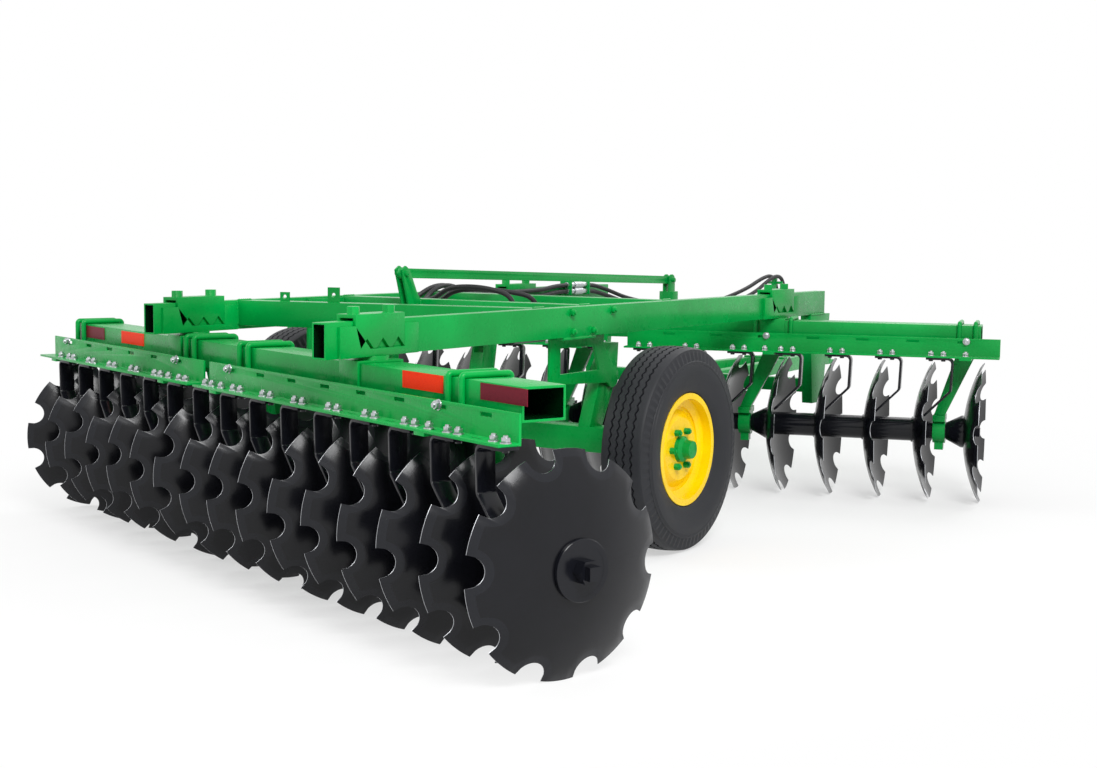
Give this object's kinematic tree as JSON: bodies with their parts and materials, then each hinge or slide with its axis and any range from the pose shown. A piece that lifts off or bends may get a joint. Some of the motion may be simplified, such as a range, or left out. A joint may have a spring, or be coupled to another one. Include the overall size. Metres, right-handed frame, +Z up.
{
  "type": "disc harrow",
  "caption": "Trailed offset disc harrow: angled gangs of notched dished discs under a rail frame, with scrapers, a hydraulic crank axle on road wheels and a drawbar.",
  "frame": {"origin": "on the ground, under the middle of the whole machine's bounding box", "axes": "+Y is the direction of travel, +X the machine's right side, +Z up"},
  "size_m": [3.6412, 6.3712, 1.091],
  "materials": {
    "frame_green": "gloss",
    "disc_black": "gloss",
    "tyre_rubber": "satin",
    "rim_yellow": "gloss",
    "rod_chrome": "polished",
    "cylinder_black": "gloss",
    "zinc": "satin",
    "reflector_red": "gloss",
    "reflector_orange": "gloss"
  },
  "bodies": {
    "frame": {"axle_hangers": "frame_green", "cylinder_lugs": "frame_green", "diagonal_cross_tube": "frame_green", "drop_legs": "frame_green", "forward_cross_tube": "frame_green", "front_bearings": "frame_green", "front_clamps": "frame_green", "front_gang_beam": "frame_green", "front_hangers": "frame_green", "front_scraper_bar_1": "frame_green", "front_scraper_bar_2": "frame_green", "front_scrapers": "disc_black", "front_straps": "frame_green", "front_u_bolts": "frame_green", "hitch_clevis": "frame_green", "left_rail": "frame_green", "leveling_bracket": "frame_green", "leveling_link": "frame_green", "lower_cross_beam": "frame_green", "middle_cross_tube": "frame_green", "rear_bearings": "frame_green", "rear_clamps": "frame_green", "rear_gang_beam": "frame_green", "rear_hangers": "frame_green", "rear_scraper_bar_1": "frame_green", "rear_scraper_bar_2": "frame_green", "rear_scrapers": "disc_black", "rear_straps": "frame_green", "rear_u_bolts": "frame_green", "right_rail": "frame_green", "tongue_left_leg": "frame_green", "tongue_mast": "frame_green", "tongue_right_leg": "frame_green"},
    "rear_gang": {"rear_discs": "disc_black", "rear_spools": "disc_black", "rear_arbor": "disc_black"},
    "front_gang": {"front_discs": "disc_black", "front_spools": "disc_black", "front_arbor": "disc_black"},
    "lift_axle": {"axle_tube": "frame_green", "axle_spindles": "frame_green", "axle_arms": "frame_green", "axle_crank": "frame_green"},
    "left_wheel": {"left_tyre": "tyre_rubber", "left_rim": "rim_yellow", "left_hub": "frame_green"},
    "right_wheel": {"right_tyre": "tyre_rubber", "right_rim": "rim_yellow", "right_hub": "frame_green"},
    "cylinder_barrel": {"cylinder_barrel": "cylinder_black"},
    "cylinder_rod": {"cylinder_rod": "rod_chrome"}
  },
  "joints": [
    {"name": "rear_gang_spin", "type": "hinge", "parent": "frame", "child": "rear_gang", "pos_m": [0.06338, -2.26334, 0.325], "axis": [0.9336, -0.3584, 0], "continuous": true},
    {"name": "front_gang_spin", "type": "hinge", "parent": "frame", "child": "front_gang", "pos_m": [-0.00462, 0.36466, 0.325], "axis": [0.9659, 0.2588, 0], "continuous": true},
    {"name": "lift", "type": "hinge", "parent": "frame", "child": "lift_axle", "pos_m": [0.08438, -0.94934, 0.655], "axis": [1, 0, 0], "range_deg": [-45, 20]},
    {"name": "left_wheel_spin", "type": "hinge", "parent": "lift_axle", "child": "left_wheel", "pos_m": [-0.85062, -1.04934, 0.4], "axis": [1, 0, 0], "continuous": true},
    {"name": "right_wheel_spin", "type": "hinge", "parent": "lift_axle", "child": "right_wheel", "pos_m": [1.01938, -1.04934, 0.4], "axis": [1, 0, 0], "continuous": true},
    {"name": "barrel_swing", "type": "hinge", "parent": "frame", "child": "cylinder_barrel", "pos_m": [0.08438, -0.49934, 0.79559], "axis": [1, 0, 0], "range_deg": [-2, 3]},
    {"name": "rod_slide", "type": "slide", "parent": "cylinder_barrel", "child": "cylinder_rod", "axis": [0, 1, 0], "range_m": [-0.05, 0.11]}
  ],
  "couplings": [
    {"joint": "rod_slide", "follows": "lift", "m_per_rad": -0.137},
    {"joint": "barrel_swing", "follows": "lift", "ratio": -0.02}
  ]
}
